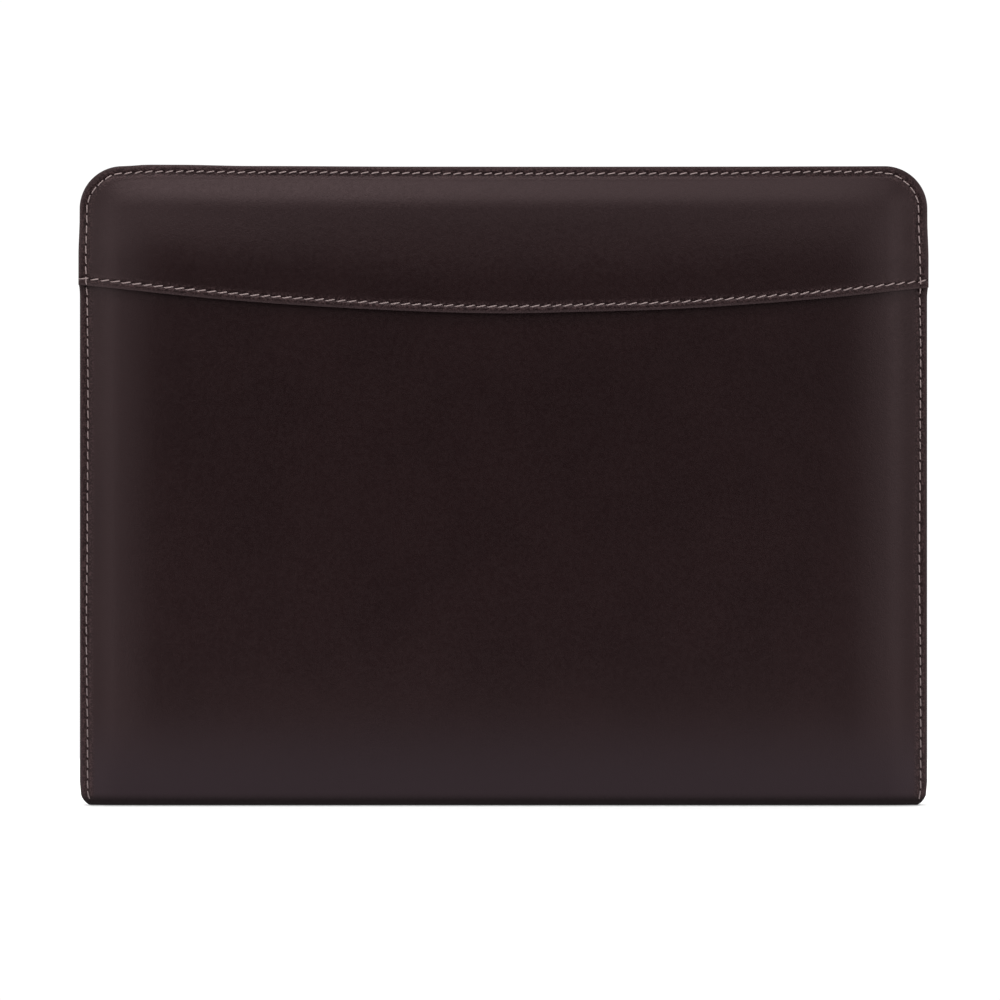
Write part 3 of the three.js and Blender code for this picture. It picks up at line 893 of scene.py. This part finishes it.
def x_at_run(run):
    """Where along the width the yoke's edge has run this far from its middle, found by halving."""
    low, high = -WIDTH / 2, WIDTH / 2
    for _ in range(24):
        x = (low + high) / 2
        if yoke_run(x, 60) < run:
            low = x
        else:
            high = x
    return x


def yoke_seats():
    """Seats for the stitches along the yoke's edge, from left to right."""
    places = []
    for i in range(YOKE_STITCHES):
        x = x_at_run(-YOKE_HALF_RUN + (i + 0.5) * YOKE_STEP)
        points = []
        for at, up in ((x - HALF_HOLD, 0), (x, 0), (x + HALF_HOLD, 0), (x, BESIDE)):
            z = yoke_edge(at) + YOKE_SEAM + up
            points.append(Vector((at, -yoke_depth(at, z, max(0.4, inset_at(at, z))), z)))
        places.append(across_seam(*points, -1, YOKE_SLANT))
    return places


def sew(name, stitch, places):
    finish_piece(copies(stitch, places, name), [], thread, 80)


sew("front_border_stitches", one_stitch(BORDER_STITCH), border_seats(-1))
sew("back_border_stitches", one_stitch(BORDER_STITCH), border_seats(1))
sew("yoke_stitches", one_stitch(YOKE_STITCH, YOKE_HOOK), yoke_seats())

# The zip: two woven tapes, their cords, the teeth, the stop, the slider and its pull
ZIP_BEND = (CORNER - ZIP_INSET) * math.pi / 2
ZIP_RUN = 2 * CORNER_Z + 2 * ZIP_BEND + 2 * CORNER_X
ZIP_STATIONS = (
    [ZIP_LOW + (CORNER_Z - ZIP_LOW) * i / 24 for i in range(24)]
    + [CORNER_Z + ZIP_BEND * i / 10 for i in range(10)]
    + [CORNER_Z + ZIP_BEND + 2 * CORNER_X * i / 40 for i in range(40)]
    + [CORNER_Z + ZIP_BEND + 2 * CORNER_X + ZIP_BEND * i / 10 for i in range(10)]
    + [CORNER_Z + 2 * ZIP_BEND + 2 * CORNER_X + (CORNER_Z - ZIP_LOW) * i / 24 for i in range(25)]
)
# A tape's section: insets from the outline and distances from the mid-plane
TAPE_LINE = [
    (1.75, 5.1), (2.2, 5.1), (2.8, 5.09), (3.3, 5.0), (3.7, 4.75), (3.93, 4.35), (4.0, 3.9), (4.0, 2.2),
]
CORD = 0.75
CORD_DEPTH = 1.95
CORD_SIDES = 10


def zip_place(station, inset, depth):
    """A point of the zip by its place along the chain."""
    x, z = edge_place(ZIP_STATIONS[station], inset, ZIP_INSET)
    return x, depth, z


def tape_side(face, name):
    """One tape, folded from under the border out to the teeth, with the cord that the teeth grip."""
    def tape_place(row, column):
        inset, depth = TAPE_LINE[row]
        across = sum(math.dist(TAPE_LINE[i], TAPE_LINE[i + 1]) for i in range(row))
        return zip_place(column, inset, face * depth), (ZIP_STATIONS[column], across)

    def cord_place(row, column):
        turn = -face * 2 * math.pi * row / CORD_SIDES
        inset, depth = ZIP_INSET + CORD * math.sin(turn), face * CORD_DEPTH + CORD * math.cos(turn)
        return zip_place(column, inset, depth), (ZIP_STATIONS[column], row * 0.36)

    strip = laid_sheet(name, len(TAPE_LINE), len(ZIP_STATIONS), tape_place, TAPE, ("along", "across"))
    strip.modifiers["thickness"].offset = 0
    bpy.ops.object.modifier_apply(modifier="thickness")
    cord = laid_sheet(name + "_cord", CORD_SIDES + 1, len(ZIP_STATIONS), cord_place, 0, ("along", "across"))
    bpy.ops.object.mode_set(mode="EDIT")
    bpy.ops.mesh.select_all(action="SELECT")
    bpy.ops.mesh.fill_holes(sides=0)
    bpy.ops.mesh.normals_make_consistent(inside=False)
    bpy.ops.object.mode_set(mode="OBJECT")
    return join([strip, cord], name)


finish_piece(tape_side(-1, "front_woven_tape"), ["zip_tape_front"], tape)
finish_piece(tape_side(1, "back_woven_tape"), ["zip_tape_back"], tape)


def bar(name, low, high, bevel=0.0, segments=2):
    """A block between two corners, in millimetres, with its edges rounded."""
    deselect()
    middle = [(a + b) / 2 * MM for a, b in zip(low, high)]
    size = [(b - a) * MM for a, b in zip(low, high)]
    bpy.ops.mesh.primitive_cube_add(size=1, location=middle, scale=size)
    block = bpy.context.object
    block.name = block.data.name = name
    bpy.ops.object.transform_apply(location=True, rotation=True, scale=True)
    if bevel:
        round_off(block, bevel, segments)
    return block


def one_tooth():
    """X along the zip, Y from the head to the leg, Z outwards: a leg on the cord, a waist and a head."""
    half_wide, half_thick = TOOTH_WIDE / 2, TOOTH_THICK / 2
    tooth = bar("tooth", (-half_wide, 0, -half_thick), (half_wide, TOOTH_LONG, half_thick))
    cut_across((0, 1, 0), [share * TOOTH_LONG for share in (0.36, 0.52, 0.66)])
    for vertex in tooth.data.vertices:
        share = vertex.co.y / (TOOTH_LONG * MM)
        at_head, at_waist, at_leg = share < 0.02, 0.5 < share < 0.54, share > 0.98
        vertex.co.x *= 0.86 if at_head else 0.92 if at_waist else 1.0
        vertex.co.z *= 0.78 if at_head or at_leg else 1.0
    round_off(tooth, 0.12, 1, 30)
    return tooth


def tooth_places():
    """Where the teeth sit, by turns on the front and on the back tape."""
    places = []
    start, end = ZIP_LOW + FIRST_TOOTH, ZIP_RUN - SLIDER_LOW - NECK - LAST_TOOTH
    count = int((end - start) / (TOOTH_PITCH / 2))
    for i in range(count):
        run = start + i * TOOTH_PITCH / 2
        side = -1 if i % 2 else 1
        x, z = edge_place(run, ZIP_INSET)
        before, after = edge_place(run - 0.2, ZIP_INSET), edge_place(run + 0.2, ZIP_INSET)
        along = Vector((after[0] - before[0], 0, after[1] - before[1])).normalized()
        toward = Vector((0, side, 0))
        outward = Vector((-along.z, 0, along.x))
        turn = Matrix((toward.cross(outward), toward, outward)).transposed().to_4x4()
        places.append(Matrix.Translation(Vector((x, -side * TOOTH_HEAD, z)) * MM) @ turn)
    return places


teeth = copies(one_tooth(), tooth_places(), "zip_teeth")
stop_x = -(WIDTH / 2 - ZIP_INSET)
stop_low = (stop_x - STOP_HALF, -STOP_HALF_DEPTH, ZIP_LOW)
stop_high = (stop_x + STOP_HALF, STOP_HALF_DEPTH, ZIP_LOW + STOP_LONG)
stop = bar("bottom_stop", stop_low, stop_high, 0.4)
finish_piece(join([teeth, stop], "zip_teeth"), ["zip_chain"], brass, 30)


def at_slider(outer, inner, half, low, high, middle=0.0):
    """Corners of a block of the slider, by its distances inside the right-hand outline."""
    return (WIDTH / 2 - inner, middle - half, low), (WIDTH / 2 - outer, middle + half, high)


def slider_plate(name, inset):
    """A plate as seen from outside: broad where the two halves come in, narrow where the chain leaves."""
    low, high = SLIDER_LOW, SLIDER_LOW + SLIDER_LONG
    plate = bar(name, *at_slider(inset, inset + PLATE, SLIDER_HALF, low, high))
    cut_across((0, 0, 1), [low + share * SLIDER_LONG for share in (0.12, 0.3, 0.5, 0.75, 0.92)])
    for vertex in plate.data.vertices:
        share = (vertex.co.z / MM - low) / SLIDER_LONG
        narrowing = 0.2 * smooth((share - 0.3) / 0.45)
        foot_corners = 0.16 * smooth(1 - share / 0.12)
        head_corners = 0.1 * smooth((share - 0.9) / 0.1)
        vertex.co.y *= 1 - narrowing - foot_corners - head_corners
    round_off(plate, 0.28, 2, 30)
    return plate


OUTER_PLATE, INNER_PLATE = 1.5, 5.5
LIP_INSETS = ((2.2, 3.2), (4.8, 5.8))
LIP_FROM_MIDDLE, LIP_HALF = 3.35, 0.3
slider_pieces = [slider_plate("outer_plate", OUTER_PLATE), slider_plate("inner_plate", INNER_PLATE)]
slider_pieces.append(bar("neck", *at_slider(2.0, 6.0, 1.6, SLIDER_LOW + 0.2, SLIDER_LOW + NECK), 0.4))
for face in (-1, 1):
    for outer, inner in LIP_INSETS:
        low, high = SLIDER_LOW + 3.2, SLIDER_LOW + SLIDER_LONG - 1.2
        corners = at_slider(outer, inner, LIP_HALF, low, high, face * LIP_FROM_MIDDLE)
        slider_pieces.append(bar("lip", *corners, 0.15, 1))

# The bail over the outer plate, a bent wire, flatter than it is high
BAIL_X = (WIDTH / 2 - 1.9) * MM
BAIL_Z = SLIDER_LOW + SLIDER_LONG / 2
BAIL_RADIUS, BAIL_WIRE, BAIL_FLAT = 2.1, 0.42, 0.62
deselect()
bpy.ops.mesh.primitive_torus_add(
    major_segments=24, minor_segments=10, major_radius=BAIL_RADIUS * MM, minor_radius=BAIL_WIRE * MM,
    location=(BAIL_X, 0, BAIL_Z * MM), rotation=(math.pi / 2, 0, 0),
)
bail = bpy.context.object
bpy.ops.object.transform_apply(location=True, rotation=True, scale=True)
for vertex in bail.data.vertices:
    vertex.co.x = BAIL_X + (vertex.co.x - BAIL_X) * BAIL_FLAT
slider_pieces.append(bail)

# The pull: a flat tab with a window for the bail and a rounded end
PULL_X = (WIDTH / 2 - 0.85) * MM
PULL_LOW = BAIL_Z - 2.4
deselect()
bpy.ops.mesh.primitive_cylinder_add(
    vertices=48, radius=PULL_HALF * MM, depth=PULL_THICK * MM, rotation=(0, math.pi / 2, 0),
    location=(PULL_X, 0, (PULL_LOW + PULL_HALF) * MM),
)
pull = bpy.context.object
pull.name = pull.data.name = "pull_tab"
bpy.ops.object.transform_apply(location=True, rotation=True, scale=True)
for vertex in pull.data.vertices:
    if vertex.co.z / MM > PULL_LOW + PULL_HALF + 0.01:
        vertex.co.z += (PULL_LONG - 2 * PULL_HALF) * MM
    waist = smooth((vertex.co.z / MM - PULL_LOW) / 9)
    vertex.co.y *= 0.74 + 0.26 * waist
window = bar("window", *at_slider(-1, 3, 1.15, PULL_LOW + 1.2, PULL_LOW + 4.6), 0.5, 3)
pick(pull)
cut = pull.modifiers.new("window", "BOOLEAN")
cut.operation = "DIFFERENCE"
cut.object = window
cut.solver = "EXACT"
bpy.ops.object.modifier_apply(modifier="window")
bpy.data.objects.remove(window)
round_off(pull, 0.16, 2, 50)
slider_pieces.append(pull)
finish_piece(join(slider_pieces, "slider_and_pull"), ["zip_slider"], brass, 30)

# Stage: a white table, soft boxes and the camera
deselect()
bpy.ops.mesh.primitive_plane_add(size=1.0, location=(0, 0, -0.0002))
floor = bpy.context.object
floor.name = "white_table"
TABLE_WIDE, TABLE_DEEP, TABLE_BACK = 1.4, 0.6, 0.05
for vertex in floor.data.vertices:
    vertex.co.x *= TABLE_WIDE
    vertex.co.y = vertex.co.y * TABLE_DEEP + TABLE_BACK
floor_paint, floor_tree, floor_shader = blank("white_table_top")
mirrored = wire(floor_tree, "ShaderNodeLightPath").outputs["Is Glossy Ray"]
white = blend_colour(floor_tree, mirrored, (0.9, 0.9, 0.9), (0.62, 0.62, 0.62))
floor_tree.links.new(white, floor_shader.inputs["Base Color"])
floor_shader.inputs["Roughness"].default_value = 0.9
floor_shader.inputs["Specular IOR Level"].default_value = 0.0
floor_shader.inputs["Emission Color"].default_value = (1, 1, 1, 1)
floor_shader.inputs["Emission Strength"].default_value = 0.26
floor.data.materials.append(floor_paint)
floor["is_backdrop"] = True

world = bpy.data.worlds.new("studio")
bpy.context.scene.world = world
world.use_nodes = True
sky = world.node_tree
backdrop = sky.nodes["Background"]
backdrop.inputs["Color"].default_value = (1, 1, 1, 1)
seen = wire(sky, "ShaderNodeLightPath").outputs["Is Camera Ray"]
sky.links.new(fade(sky, seen, 0.0, 1.0, 0.02, 1.05), backdrop.inputs["Strength"])


def soft_box(name, place, target, width, height, watts):
    """A lamp behind white cloth that faces a target."""
    light = bpy.data.lights.new(name, "AREA")
    light.shape = "RECTANGLE"
    light.size, light.size_y = width, height
    light.energy = watts
    lamp = bpy.data.objects.new(name, light)
    lamp.location = place
    lamp.rotation_euler = (Vector(target) - Vector(place)).to_track_quat("-Z", "Y").to_euler()
    bpy.context.scene.collection.objects.link(lamp)


soft_box("overhead_box", (0, 0, 1.5), (0, 0, 0), 1.8, 1.2, 12)
soft_box("high_front_box", (0, -0.55, 1.35), (0, 0, 0.15), 1.6, 0.6, 4.4)
soft_box("top_left_box", (-0.4, -1.0, 1.15), (-0.4, 0, 0.15), 0.8, 0.6, 6.6)
soft_box("top_right_box", (0.4, -1.0, 1.15), (0.4, 0, 0.15), 0.8, 0.6, 2.8)
soft_box("left_box", (-1.07, -0.8, 0.4), (0, 0, 0.12), 0.6, 0.8, 2.8)
soft_box("left_front_box", (-0.75, -1.2, 0.4), (0, 0, 0.12), 0.6, 0.8, 1.9)
soft_box("right_box", (1.07, -0.8, 0.4), (0, 0, 0.12), 0.6, 0.8, 1.9)
soft_box("right_front_box", (0.75, -1.2, 0.4), (0, 0, 0.12), 0.6, 0.8, 2.8)
soft_box("high_back_box", (0, 0.55, 1.35), (0, 0, 0.15), 1.6, 0.6, 4.4)
soft_box("top_back_box", (0, 1.0, 1.15), (0, 0, 0.15), 1.6, 0.6, 9.4)
soft_box("left_back_box", (-0.95, 1.0, 0.3), (0, 0, 0.12), 0.6, 1.0, 4.5)
soft_box("right_back_box", (0.95, 1.0, 0.3), (0, 0, 0.12), 0.6, 1.0, 4.5)

# The camera stands 2 m before the case, level with its middle
camera = bpy.data.cameras.new("camera")
camera.lens = 178.9
camera.sensor_width = 36
camera.clip_end = 50
viewer = bpy.data.objects.new("camera", camera)
viewer.location = (-0.0014, -2.0, 0.1225)
viewer.rotation_euler = (math.pi / 2, 0, 0)
bpy.context.scene.collection.objects.link(viewer)
bpy.context.scene.camera = viewer
bpy.context.scene.view_settings.view_transform = "Standard"

low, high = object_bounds()
